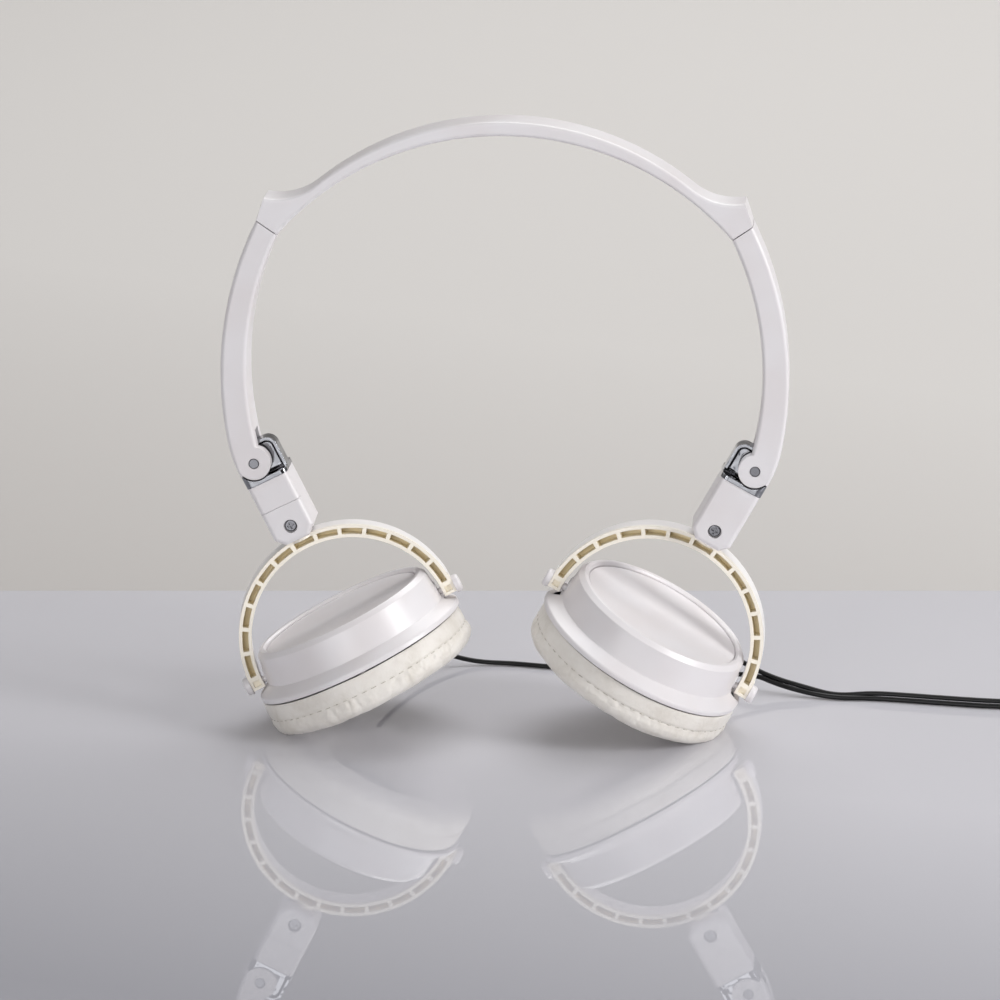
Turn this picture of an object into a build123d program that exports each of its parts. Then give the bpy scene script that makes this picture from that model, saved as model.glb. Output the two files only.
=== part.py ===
from build123d import *
from math import atan2, cos, degrees, hypot, pi, radians, sin, tan
import os

# Folding on-ear headphones standing on the rims of their two cushions. Millimetres.
# X is to the right, Y is away from the front, Z is up. The floor is z = 0.
# Each side is built as the right one, and the left one is its mirror image about X = 0.

# the assembly's middle on the floor
SHIFT_X, SHIFT_Y = 0.0, -0.3

# headband: a centre band with two sleeve ends
HALF_DEPTH = 7.0
TOP_Z = 181.5
OUTER_R = 87.0
INNER_R = 87.5
BAND_TOP_THICK = 4.1
WING_START_X = 54.5
WING_TIP = (69.3, 158.6)
SEAM_OUTER = (71.5, 152.0)
SEAM_INNER_X = 65.5
SEAM_GAP = 0.25
BAND_EDGE = 0.9
LINER_THICK = 1.0
LINER_HALF_DEPTH = 5.2
LINER_HALF_ANGLE = 24.0

# spring strips that slide in the band about one centre
SLIDE_Z = 92.5
STRIP_R = 87.6
STRIP_THICK = 1.0
STRIP_HALF_DEPTH = 4.2
STRIP_LOW, STRIP_HIGH = 33.5, 64.0
CHANNEL_GAP = 0.08

# side arms
ARM_OUTER_CENTRE, ARM_OUTER_R = (-20.0, 106.7), 102.7
ARM_INNER_CENTRE, ARM_INNER_R = (-17.0, 107.4), 91.8
ARM_EDGE = 1.1
PIN_X, PIN_Z = 73.0, 79.9
CHEEK_R = 4.9
CHEEK_THICK = 4.0
FORK_CLEAR_R = 9.2
PIN_R = 1.55
RUNNING = 0.05
WELL_TAPER = 35.0

# knuckle: U outward, W up along it, both from the hinge pin
KNUCKLE_SHIFT = 1.2
KNUCKLE_HALF_WIDTH = 6.4
KNUCKLE_HALF_DEPTH = 7.4
COLLAR_TOP = -2.4
COLLAR_BOTTOM = -6.2
KNUCKLE_BOTTOM = -26.1
KNUCKLE_ROUND = 2.0
COVER_DEPTH = 2.6
SCREW_W = -21.3
SCREW_HEAD_R = 1.75
SCREW_SUNK = 1.0

# yoke: a half ring about the cup's centre
YOKE_DROP = 59.9
RING_OUTER, RING_INNER = 33.5, 29.7
RING_FRONT, RING_BACK = -2.0, 6.6
LUG_LOW, LUG_BACK = -1.75, 2.6
BOSS_R = 2.7
STEM_R = 3.25
STEM_TOP = -16.6
POCKETS = 13
POCKET_START = 2.3
POCKET_DEPTH = 4.4
POCKET_WALL = 1.0
RIB = 1.2

# cup: Z outward from the head, turned about X
CUP_TOP = 8.5
CAP_R = 26.4
DRUM_TOP_R, DRUM_LOW_R = 27.7, 28.6
FLANGE_R = 32.5
FLANGE_TOP, FLANGE_LOW = -3.95, -5.3
SHELL_WALL = 1.6
PIVOT_R = 1.0
RELIEF_R = 3.75
BAFFLE_R = 30.6
CUSHION_R, CUSHION_SHIFT = 32.5, 0.5
CUSHION_HOLE_R = 13.0
CUSHION_TOP, CUSHION_LOW = -6.6, -17.1
SLEEVE_START, SLEEVE_LONG = 25.6, 8.0
EXIT_Z = 1.6

# how each side stands: lean of the knuckle, turn of the yoke, tilt of the cup
SIDES = {
    "left": {"lean": 26.6, "swivel": 7.3, "tilt": 88.9, "cover_top": -14.8},
    "right": {"lean": 29.3, "swivel": 2.7, "tilt": 95.3, "cover_top": COLLAR_BOTTOM},
}

# cords: two leads run together to a splitter, and one cord goes on to the plug
LEAD_D = 1.5
CORD_D = 2.3
LEFT_ROUTE = [
    (-49.36, 33.09, 25.82),
    (-50.06, 39.74, 25.32),
    (-48.6, 46.26, 23.4),
    (-45.2, 52.06, 19.8),
    (-41.0, 55.96, 15.4),
    (-35.6, 58.96, 10.9),
    (-28.2, 61.46, 6.3),
    (-20.1, 63.26, 2.9),
    (-12.0, 64.36, 1.0),
    (-2.0, 64.16, 0.85),
    (8.0, 61.56, 0.85),
    (20.0, 58.56, 0.85),
    (34.0, 56.76, 0.85),
    (48.0, 53.26, 1.1),
    (60.0, 47.76, 3.0),
    (72.5, 40.56, 5.6),
    (79.5, 38.36, 3.2),
    (88.0, 35.06, 1.7),
    (97.5, 32.46, 0.85),
    (108.0, 32.96, 0.85),
    (118.0, 31.36, 0.85),
    (130.0, 28.96, 0.85),
    (146.0, 26.16, 0.85),
    (160.0, 26.16, 0.85),
]
RIGHT_ROUTE = [
    (46.31, 33.0, 31.58),
    (46.74, 37.93, 31.87),
    (48.2, 41.96, 29.6),
    (52.0, 45.26, 23.5),
    (58.0, 47.26, 16.5),
    (65.5, 44.76, 10.3),
    (72.5, 41.36, 7.0),
    (79.5, 39.16, 4.6),
    (88.0, 36.16, 3.05),
    (97.5, 34.56, 0.9),
    (108.0, 34.06, 2.15),
    (118.0, 32.16, 2.25),
    (130.0, 29.76, 2.25),
    (146.0, 26.96, 2.25),
    (160.0, 26.96, 2.25),
]
SPLITTER_X0, SPLITTER_X1 = 160.0, 173.0
SPLITTER_R = 2.4
SPLITTER_YZ = (26.56, 2.4)
CORD_ROUTE = [
    (173.0, 26.56, 2.4),
    (184.0, 26.56, 2.3),
    (196.0, 29.66, 1.3),
    (208.0, 33.86, 1.3),
    (218.0, 34.86, 1.5),
]
COIL_AT = (222.0, 21.76)
COIL_TURN_R = 13.2
COIL_HALF_BAND = 3.8
COIL_LOW, COIL_HIGH = 0.7, 8.9
TIE_WIDE, TIE_THICK = 3.0, 0.6
TAIL_ROUTE = [
    (235.2, 21.76, 1.5),
    (235.2, 14.26, 1.35),
    (236.9, 7.76, 2.1),
    (237.6, 1.76, 3.3),
    (237.6, -3.74, 3.3),
]
PLUG_SLEEVE, PLUG_BODY, PLUG_TIP = 7.0, 14.0, 14.0
PLUG_R = 3.3
CONTACT_R = 1.75

parts = {}


def face_of(*edges):
    return make_face(Curve() + list(edges))


def slab(face, y0, y1):
    """A face drawn in X and Z, as thick as y0 to y1."""
    return Pos(0, y1, 0) * extrude(Plane.XZ * face, y1 - y0)


def slab_both(face, half):
    return slab(face, -half, half)


def rod(r, y0, y1, x=0.0, z=0.0):
    """A round bar along Y."""
    return Pos(x, (y0 + y1) / 2, z) * Rot(90, 0, 0) * Cylinder(r, y1 - y0)


def bar_x(r, x0, x1):
    """A round bar along X."""
    return Pos((x0 + x1) / 2, 0, 0) * Rot(0, 90, 0) * Cylinder(r, x1 - x0)


def bar_z(r, z0, z1, x=0.0, y=0.0):
    """A round bar along Z."""
    return Pos(x, y, (z0 + z1) / 2) * Cylinder(r, z1 - z0)


def block(x0, x1, y0, y1, z0, z1):
    return Pos((x0 + x1) / 2, (y0 + y1) / 2, (z0 + z1) / 2) * Box(x1 - x0, y1 - y0, z1 - z0)


def turned(*points):
    """A ring or disc about Z from its outline in radius and height."""
    return revolve(Plane.XZ * make_face(Polyline(*points, close=True)), Axis.Z)


def long_edges(solid, half):
    """The edges that run round the two side faces."""
    faces = [f for f in solid.faces().filter_by(GeomType.PLANE) if abs(abs(f.center().Y) - half) < 0.01]
    return ShapeList(e for f in faces for e in f.edges())


def knuckle_place(side):
    return Pos(PIN_X, 0, PIN_Z) * Rot(0, SIDES[side]["lean"], 0)


def yoke_place(side):
    swivel = SIDES[side]["swivel"]
    return knuckle_place(side) * Pos(-KNUCKLE_SHIFT, 0, -YOKE_DROP) * Rot(0, 0, -swivel)


def cup_place(side):
    return yoke_place(side) * Rot(SIDES[side]["tilt"] - 90, 0, 0)


def keep(side, name, solid, place=None):
    """Puts a piece that was built on the right where it belongs."""
    if place is not None:
        solid = place * solid
    if side == "left":
        solid = mirror(solid, about=Plane.YZ)
    parts[f"{side}_{name}"] = Pos(SHIFT_X, SHIFT_Y, 0) * solid


# ---------------------------------------------------------------- headband


def arc_about(centre, r, start, end):
    """The shorter arc about a centre between the directions of two points."""
    a0 = degrees(atan2(start[1] - centre[1], start[0] - centre[0]))
    a1 = degrees(atan2(end[1] - centre[1], end[0] - centre[0]))
    return CenterArc((*centre, 0), r, a0, a1 - a0)


def strip_ring(low, high, thick, half):
    """A piece of the ring that the strips lie on, between two angles above the horizontal."""
    face = make_face(
        Curve()
        + [
            CenterArc((0, SLIDE_Z, 0), STRIP_R - thick / 2, low, high - low),
            CenterArc((0, SLIDE_Z, 0), STRIP_R + thick / 2, low, high - low),
            Line(ring_point(STRIP_R - thick / 2, low), ring_point(STRIP_R + thick / 2, low)),
            Line(ring_point(STRIP_R - thick / 2, high), ring_point(STRIP_R + thick / 2, high)),
        ]
    )
    return slab_both(face, half)


def ring_point(r, angle):
    return (r * cos(radians(angle)), SLIDE_Z + r * sin(radians(angle)))


def on_circle(centre, r, x):
    """The upper point of a circle at x."""
    return (x, centre[1] + (r * r - (x - centre[0]) ** 2) ** 0.5)


def seam_inner():
    return on_circle((0, TOP_Z - BAND_TOP_THICK - INNER_R), INNER_R, SEAM_INNER_X)


def band_half():
    outer = (0, TOP_Z - OUTER_R)
    inner = (0, TOP_Z - BAND_TOP_THICK - INNER_R)
    start = on_circle(outer, OUTER_R, WING_START_X)
    seam_in = seam_inner()
    top, low = (0, TOP_Z), (0, TOP_Z - BAND_TOP_THICK)
    face = face_of(
        arc_about(outer, OUTER_R, top, start),
        TangentArc(start, WING_TIP, tangent=(start[1] - outer[1], outer[0] - start[0])),
        Line(WING_TIP, SEAM_OUTER),
        Line(SEAM_OUTER, seam_in),
        arc_about(inner, INNER_R, seam_in, low),
        Line(low, top),
    )
    return slab_both(face, HALF_DEPTH)


def liner_blank(gap):
    """The soft strip under the top of the band, grown by a gap."""
    r = INNER_R
    centre = (0, TOP_Z - BAND_TOP_THICK - INNER_R)
    half = LINER_HALF_ANGLE + degrees(gap / r)
    a0, span = 90 - half, 2 * half
    p = [
        (rr * cos(radians(a)), centre[1] + rr * sin(radians(a)))
        for rr in (r - 0.2, r + LINER_THICK + gap)
        for a in (a0, a0 + span)
    ]
    face = face_of(
        CenterArc((*centre, 0), r - 0.2, a0, span),
        CenterArc((*centre, 0), r + LINER_THICK + gap, a0, span),
        Line(p[0], p[2]),
        Line(p[1], p[3]),
    )
    return slab_both(face, LINER_HALF_DEPTH + gap)


def headband():
    half = band_half()
    solid = half + mirror(half, about=Plane.YZ)
    solid = fillet(long_edges(solid, HALF_DEPTH).filter_by(GeomType.CIRCLE), BAND_EDGE)
    gap = CHANNEL_GAP
    channel = strip_ring(STRIP_LOW, STRIP_HIGH + 1.5, STRIP_THICK + 2 * gap, STRIP_HALF_DEPTH + gap)
    solid -= channel
    solid -= mirror(channel, about=Plane.YZ)
    solid -= liner_blank(0.05)
    parts["headband"] = Pos(SHIFT_X, SHIFT_Y, 0) * solid
    parts["headband_liner"] = Pos(SHIFT_X, SHIFT_Y, 0) * liner_blank(0)


# ---------------------------------------------------------------- arms


def arm(side):
    """A curved arm that ends in a fork round the hinge."""
    seam_in = seam_inner()
    away = (SEAM_OUTER[0] - seam_in[0], SEAM_OUTER[1] - seam_in[1])
    size = hypot(*away)
    step = (away[1] / size * SEAM_GAP, -away[0] / size * SEAM_GAP)
    top_in = (seam_in[0] + step[0], seam_in[1] + step[1])
    top_out = (SEAM_OUTER[0] + step[0], SEAM_OUTER[1] + step[1])
    lean = radians(SIDES[side]["lean"])
    heel_u, heel_w = 5.4, COLLAR_TOP + 0.1
    heel = (
        PIN_X + heel_u * cos(lean) + heel_w * sin(lean),
        PIN_Z - heel_u * sin(lean) + heel_w * cos(lean),
    )
    low_out = (ARM_OUTER_CENTRE[0] + (ARM_OUTER_R**2 - (85.0 - ARM_OUTER_CENTRE[1]) ** 2) ** 0.5, 85.0)
    low_in = (ARM_INNER_CENTRE[0] + (ARM_INNER_R**2 - (85.0 - ARM_INNER_CENTRE[1]) ** 2) ** 0.5, 85.0)
    down = (low_out[1] - ARM_OUTER_CENTRE[1], ARM_OUTER_CENTRE[0] - low_out[0])
    face = face_of(
        Line(top_in, top_out),
        arc_on(top_out, low_out, ARM_OUTER_R),
        TangentArc(low_out, heel, tangent=down),
        Line(heel, (PIN_X, PIN_Z)),
        Line((PIN_X, PIN_Z), low_in),
        arc_on(top_in, low_in, ARM_INNER_R),
    )
    solid = slab_both(face, HALF_DEPTH)
    solid = fillet(long_edges(solid, HALF_DEPTH).filter_by(GeomType.CIRCLE), ARM_EDGE)
    solid += rod(CHEEK_R, -HALF_DEPTH, HALF_DEPTH, PIN_X, PIN_Z)
    inside = HALF_DEPTH - CHEEK_THICK
    solid -= rod(FORK_CLEAR_R, -inside, inside, PIN_X, PIN_Z)
    solid -= rod(PIN_R + 0.01, -HALF_DEPTH - 1, HALF_DEPTH + 1, PIN_X, PIN_Z)
    solid -= strip_ring(STRIP_LOW - 0.1, STRIP_HIGH, STRIP_THICK + 0.02, STRIP_HALF_DEPTH + 0.01)
    keep(side, "arm", solid)
    keep(side, "slide_strip", slide_strip())
    keep(side, "hinge_pin", hinge_pin())


def arc_on(start, end, r):
    """The shorter arc of radius r from start to end that bulges away from the origin's axis."""
    mx, mz = (start[0] + end[0]) / 2, (start[1] + end[1]) / 2
    dx, dz = end[0] - start[0], end[1] - start[1]
    chord = hypot(dx, dz)
    rise = r - (r * r - chord * chord / 4) ** 0.5
    side = 1 if -dz > 0 else -1
    return ThreePointArc(start, (mx + side * rise * -dz / chord, mz + side * rise * dx / chord), end)


def slide_strip():
    """A spring strip with two rows of detent notches."""
    solid = strip_ring(STRIP_LOW, STRIP_HIGH, STRIP_THICK, STRIP_HALF_DEPTH)
    for n in range(7):
        angle = 42.5 + 2.6 * n
        x, z = ring_point(STRIP_R, angle)
        for y in (-STRIP_HALF_DEPTH, STRIP_HALF_DEPTH):
            solid -= Pos(x, y, z) * Rot(0, 90 - angle, 0) * Cylinder(0.7, 3)
    return solid


def hinge_pin():
    end = HALF_DEPTH - 0.1
    pin = rod(PIN_R, -end, end, PIN_X, PIN_Z)
    return chamfer(pin.edges(), 0.25)


# ---------------------------------------------------------------- knuckle


def bracket():
    """The bright metal bracket: a tongue between the fork's cheeks on a collar."""
    half = HALF_DEPTH - CHEEK_THICK - 0.2
    left = -KNUCKLE_SHIFT - KNUCKLE_HALF_WIDTH - 0.3
    right = -KNUCKLE_SHIFT + KNUCKLE_HALF_WIDTH + 0.2
    top, corner = 5.1, 3.2
    tongue_face = face_of(
        Line((left, COLLAR_BOTTOM), (left, top - corner)),
        ThreePointArc(
            (left, top - corner),
            (left + corner * (1 - cos(pi / 4)), top - corner * (1 - sin(pi / 4))),
            (left + corner, top),
        ),
        Line((left + corner, top), (0, top)),
        Line((0, top), (0, COLLAR_BOTTOM)),
        Line((0, COLLAR_BOTTOM), (left, COLLAR_BOTTOM)),
    )
    tongue = slab_both(tongue_face, half) + rod(5.2, -half, half)
    rim, dip = 1.5, 0.9
    well_face = face_of(
        Line((left + rim, COLLAR_BOTTOM + 2.0), (left + rim, top - corner)),
        ThreePointArc(
            (left + rim, top - corner),
            (
                left + rim + (corner - rim) * (1 - cos(pi / 4)),
                top - rim - (corner - rim) * (1 - sin(pi / 4)),
            ),
            (left + corner, top - rim),
        ),
        Line((left + corner, top - rim), (3, top - rim)),
        Line((3, top - rim), (3, COLLAR_BOTTOM + 2.0)),
        Line((3, COLLAR_BOTTOM + 2.0), (left + rim, COLLAR_BOTTOM + 2.0)),
    )
    well = Pos(0, dip - half, 0) * extrude(Plane.XZ * well_face, dip + 0.3, taper=-WELL_TAPER)
    tongue -= well
    tongue -= mirror(well, about=Plane.XZ)
    deep = KNUCKLE_HALF_DEPTH + 0.1
    collar = block(left, right, -deep, deep, COLLAR_BOTTOM, COLLAR_TOP)
    collar = fillet(collar.edges().filter_by(Axis.Z), KNUCKLE_ROUND)
    for y0, y1 in ((-deep - 1, -half - 0.1), (half + 0.1, deep + 1)):
        collar -= rod(5.2, y0, y1)
        collar -= block(left - 1, -3, y0, y1, -4.9, 0)
    collar -= block(left - 1, 0, -deep - 1, deep + 1, -4.9, 0)
    solid = tongue + collar
    spigot = block(-KNUCKLE_SHIFT - 4, -KNUCKLE_SHIFT + 4, -4, 4, -14, COLLAR_BOTTOM + 0.5)
    solid += spigot
    return solid - rod(PIN_R + RUNNING, -10, 10)


def knuckle_blank():
    x0, x1 = -KNUCKLE_SHIFT - KNUCKLE_HALF_WIDTH, -KNUCKLE_SHIFT + KNUCKLE_HALF_WIDTH
    cut = 2.6
    face = make_face(
        Polyline(
            (x0, COLLAR_BOTTOM - 0.02),
            (x0, KNUCKLE_BOTTOM + cut),
            (x0 + cut, KNUCKLE_BOTTOM),
            (x1 - cut, KNUCKLE_BOTTOM),
            (x1, KNUCKLE_BOTTOM + cut),
            (x1, COLLAR_BOTTOM - 0.02),
            close=True,
        )
    )
    solid = slab_both(face, KNUCKLE_HALF_DEPTH)
    edges = [
        e
        for e in long_edges(solid, KNUCKLE_HALF_DEPTH)
        if e.center().Z < COLLAR_BOTTOM - 1
    ]
    solid = fillet(edges, KNUCKLE_ROUND * 0.7)
    solid -= block(-KNUCKLE_SHIFT - 4.1, -KNUCKLE_SHIFT + 4.1, -4.1, 4.1, -14.1, 0)
    solid -= bar_z(STEM_R + RUNNING, KNUCKLE_BOTTOM - 1, STEM_TOP + 0.2, -KNUCKLE_SHIFT)
    solid -= bar_z(STEM_R + 1.3, -25.7, -23.4, -KNUCKLE_SHIFT)
    return solid


def knuckle(side):
    top = SIDES[side]["cover_top"]
    front = -KNUCKLE_HALF_DEPTH + COVER_DEPTH
    blank = knuckle_blank()
    screw_x = -KNUCKLE_SHIFT
    recess = rod(SCREW_HEAD_R + 0.25, -9, -KNUCKLE_HALF_DEPTH + SCREW_SUNK + 0.9, screw_x, SCREW_W)
    shank = rod(1.05, -9, -2, screw_x, SCREW_W)
    blank -= recess
    blank -= shank
    window = block(-20, 20, -20, front, -40, top)
    cover = blank & window
    gap = 0.06
    body = blank - block(-20, 20, -20, front + gap, -40, top + gap)
    place = knuckle_place(side)
    keep(side, "knuckle", body, place)
    keep(side, "knuckle_cover", cover, place)
    keep(side, "knuckle_screw", screw(screw_x), place)
    keep(side, "hinge_bracket", bracket(), place)
    bush = bar_z(STEM_R + 1.25, -25.6, -23.5, -KNUCKLE_SHIFT)
    bush -= bar_z(STEM_R + 0.04, -27, -22, -KNUCKLE_SHIFT)
    keep(side, "swivel_bush", bush, place)


def screw(x):
    """A cross-head screw whose tip runs in the stem's groove."""
    face = -KNUCKLE_HALF_DEPTH + SCREW_SUNK
    head = rod(SCREW_HEAD_R, face, face + 0.9, x, SCREW_W)
    head = fillet(head.edges().sort_by(Axis.Y)[0], 0.35)
    solid = head + rod(0.95, face + 0.5, -2.25, x, SCREW_W)
    for w, h in ((2.1, 0.5), (0.5, 2.1)):
        solid -= block(x - w / 2, x + w / 2, face - 1, face + 0.6, SCREW_W - h / 2, SCREW_W + h / 2)
    return solid


# ---------------------------------------------------------------- yoke


def yoke():
    """A half ring with open pockets, a stem on top and a lug at each end."""
    ring = bar_y_ring(RING_OUTER, RING_INNER, RING_FRONT, RING_BACK)
    ring = ring & block(-40, 40, -20, 20, 0, 40)
    for s in (-1, 1):
        x0, x1 = sorted((s * (RING_INNER - 2), s * (RING_OUTER + 2)))
        ring -= Pos((x0 + x1) / 2, RING_BACK, 0) * Rot(35, 0, 0) * Box(x1 - x0, 7.6, 7.0)
        end_x = sorted((s * RING_INNER, s * RING_OUTER))
        ring += block(*end_x, RING_FRONT, LUG_BACK, LUG_LOW, 4)
        ring -= block(s * 31.6 - 1.1, s * 31.6 + 1.1, RING_FRONT - 1, RING_FRONT + 0.8, -0.9, 0.9)
    stem_low = RING_OUTER - 1.0
    above = YOKE_DROP + STEM_TOP
    solid = ring + bar_z(STEM_R, stem_low, above)
    groove = YOKE_DROP + SCREW_W
    solid -= bar_z(STEM_R + 1, groove - 1.15, groove + 1.15) - bar_z(2.1, groove - 2, groove + 2)
    solid -= pockets()
    for s in (-1, 1):
        solid -= bar_x(PIVOT_R + 0.01, 28, 40) if s > 0 else bar_x(PIVOT_R + 0.01, -40, -28)
    return solid


def bar_y_ring(outer, inner, y0, y1):
    return rod(outer, y0, y1) - rod(inner, y0 - 1, y1 + 1)


def pockets():
    """Blind pockets round the half ring, open to the front, with ribs left between them."""
    outer, inner = RING_OUTER - POCKET_WALL, RING_INNER + POCKET_WALL
    band = bar_y_ring(outer, inner, RING_FRONT - 1, RING_FRONT + POCKET_DEPTH)
    band = band & block(-40, 40, -20, 20, POCKET_START, 40)
    middle = (RING_OUTER + RING_INNER) / 2
    start = degrees(POCKET_START / middle)
    step = (180 - 2 * start) / POCKETS
    for n in range(1, POCKETS):
        angle = start + n * step
        band -= Rot(0, -angle, 0) * block(RING_INNER - 2, RING_OUTER + 2, -20, 20, -RIB / 2, RIB / 2)
    return band


def pivot_pins():
    """The two short pins with round heads that hold the cup in the yoke."""
    pins = []
    for s in (-1, 1):
        head = bar_x(BOSS_R, RING_OUTER + 0.02, RING_OUTER + 2.0)
        head = fillet(head.edges().sort_by(Axis.X)[-1], 0.9)
        pin = head + bar_x(PIVOT_R, 26.4, RING_OUTER + 0.5)
        pins.append(pin if s > 0 else mirror(pin, about=Plane.YZ))
    return Compound(children=pins)


# ---------------------------------------------------------------- cup


def cup_shell():
    outer = [
        (CAP_R - 1.1, CUP_TOP),
        (CAP_R, CUP_TOP),
        (DRUM_TOP_R, CUP_TOP - 1.4),
        (DRUM_LOW_R, -1.4),
        (FLANGE_R - 0.2, FLANGE_TOP + 0.15),
        (FLANGE_R, FLANGE_TOP - 0.3),
        (FLANGE_R, FLANGE_LOW),
    ]
    inner = [
        (BAFFLE_R + 0.1, FLANGE_LOW),
        (BAFFLE_R + 0.1, FLANGE_LOW + 1.5),
        (DRUM_LOW_R - SHELL_WALL, -1.6),
        (DRUM_TOP_R - SHELL_WALL, 5.4),
        (22.5, 5.4),
        (22.5, 6.3),
        (24.7, 6.3),
        (24.7, 7.9),
    ]
    solid = turned(*outer, *inner)
    for s in (-1, 1):
        boss = bar_x(3.4, 25.6, 28.4)
        relief = bar_x(RELIEF_R, 28.9, 40) + bar_x(PIVOT_R + RUNNING, 25, 40)
        if s < 0:
            boss, relief = mirror(boss, about=Plane.YZ), mirror(relief, about=Plane.YZ)
        solid = solid + boss - relief
    solid -= Pos(0, 28, EXIT_Z) * Rot(90, 0, 0) * Cylinder(1.9, 6)
    return solid


def cup_cap():
    """The flat outer disc that sits inside the rim."""
    disc = turned((0, 6.35), (24.6, 6.35), (24.6, 7.3), (24.1, 7.6), (0, 7.6))
    return disc


def baffle():
    plate = turned(
        (17.2, FLANGE_LOW), (BAFFLE_R, FLANGE_LOW), (BAFFLE_R, FLANGE_LOW + 1.4), (17.2, FLANGE_LOW + 1.4)
    )
    for n in range(4):
        plate -= Rot(0, 0, 45 + 90 * n) * bar_z(1.1, -9, 0, 25.0)
    return plate


def baffle_screws():
    screws = []
    for n in range(4):
        body = bar_z(1.0, FLANGE_LOW - 0.1, -1.2, 25.0) + bar_z(1.8, FLANGE_LOW - 0.75, FLANGE_LOW - 0.02, 25.0)
        screws.append(Rot(0, 0, 45 + 90 * n) * body)
    return Compound(children=screws)


def driver():
    frame = turned((14.6, -4.9), (17.0, -4.9), (17.0, -2.6), (14.0, 0.2), (9.6, 0.2), (9.6, -0.9), (13.6, -1.3))
    magnet = turned((0, -1.6), (9.4, -1.6), (9.4, 3.4), (0, 3.4))
    diaphragm = turned((0, -3.4), (7, -3.9), (14.4, -4.5), (14.4, -4.3), (7, -3.7), (0, -3.2))
    return frame, magnet, diaphragm


def cushion_ring():
    ring = turned((17.6, -6.1), (31.0, -6.1), (31.0, -6.55), (17.6, -6.55))
    post = [Rot(0, 0, 90 * n) * bar_z(1.0, -6.2, FLANGE_LOW - 0.02, 29.0) for n in range(4)]
    for p in post:
        ring += p
    return ring


def cushion():
    """A plain ring pad with a rounded section."""
    low, top = CUSHION_LOW, CUSHION_TOP
    out, hole = CUSHION_R, CUSHION_HOLE_R
    face = face_of(
        Line((hole + 3, top), (out - 1.2, top)),
        ThreePointArc((out - 1.2, top), (out - 0.2, top - 1.2), (out, top - 4.0)),
        ThreePointArc((out, top - 4.0), (out - 2.0, low + 1.9), (out - 6.5, low)),
        Line((out - 6.5, low), (hole + 5, low)),
        ThreePointArc((hole + 5, low), (hole + 0.8, low + 2.6), (hole, low + 5.4)),
        Line((hole, low + 5.4), (hole + 3, top)),
    )
    return Pos(CUSHION_SHIFT, 0, 0) * revolve(Plane.XZ * face, Axis.Z)


def strain_relief():
    """A tapered sleeve for the lead, on the side of the cup."""
    end = SLEEVE_LONG
    sleeve = turned((0, 0), (1.85, 0), (1.85, 3.1), (2.4, 3.1), (2.4, 3.9), (1.35, end), (0, end))
    return Pos(0, SLEEVE_START, EXIT_Z) * Rot(-90, 0, 0) * sleeve


def cup(side):
    place = cup_place(side)
    frame, magnet, diaphragm = driver()
    keep(side, "cup_shell", cup_shell(), place)
    keep(side, "cup_cap", cup_cap(), place)
    keep(side, "baffle", baffle(), place)
    keep(side, "baffle_screws", baffle_screws(), place)
    keep(side, "driver_frame", frame, place)
    keep(side, "driver_magnet", magnet, place)
    keep(side, "driver_diaphragm", diaphragm, place)
    keep(side, "cushion_ring", cushion_ring(), place)
    keep(side, "ear_cloth", turned((0, -6.1), (17.5, -6.1), (17.5, -6.5), (0, -6.5)), place)
    keep(side, "strain_relief", strain_relief(), place)
    above = block(-200, 200, -200, 200, 0, 200)
    keep(side, "cushion", (place * cushion()) & above)


# ---------------------------------------------------------------- cords


def distance(a, b):
    return hypot(*(q - p for p, q in zip(a, b)))


def corner_radii(route):
    """0.45 of the shorter run, divided by the tangent of half the turn."""
    radii = []
    for a, b, c in zip(route, route[1:], route[2:]):
        turn = (Vector(*b) - Vector(*a)).get_angle(Vector(*c) - Vector(*b))
        radii.append(0.45 * min(distance(a, b), distance(b, c)) / tan(radians(turn) / 2))
    return radii


def cord(name, route, diameter):
    """A tube along straight runs joined by tangent arcs."""
    radii = corner_radii(route)
    path = FilletPolyline(*route, radius=radii)
    start = Plane(origin=path @ 0, z_dir=path % 0)
    parts[name] = sweep(start * Circle(diameter / 2), path)
    share = parts[name].volume / (pi * diameter**2 / 4 * path.length)
    print(name, "length", round(path.length, 1), "tightest", round(min(radii), 1), "volume share", round(share, 4))


def cords():
    cord("left_lead", LEFT_ROUTE, LEAD_D)
    cord("right_lead", RIGHT_ROUTE, LEAD_D)
    cord("main_cord", CORD_ROUTE, CORD_D)
    cord("plug_tail", TAIL_ROUTE, CORD_D)
    body = Pos(0, *SPLITTER_YZ) * bar_x(SPLITTER_R, SPLITTER_X0, SPLITTER_X1)
    parts["splitter"] = fillet(body.edges(), 0.7)
    coil()
    plug()


def coil():
    """The put-away length as one ring, with a flat tie round it."""
    low, high = COIL_TURN_R - COIL_HALF_BAND, COIL_TURN_R + COIL_HALF_BAND
    ring = turned((low, COIL_LOW), (high, COIL_LOW), (high, COIL_HIGH), (low, COIL_HIGH))
    ring = fillet(ring.edges(), 1.2)
    strap = block(-TIE_WIDE / 2, TIE_WIDE / 2, low - TIE_THICK, high + TIE_THICK, 0.05, COIL_HIGH + TIE_THICK)
    place = Pos(COIL_AT[0], COIL_AT[1], 0)
    parts["cord_coil"] = place * ring
    parts["coil_tie"] = place * (Rot(0, 0, -60) * strap - ring)


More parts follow.
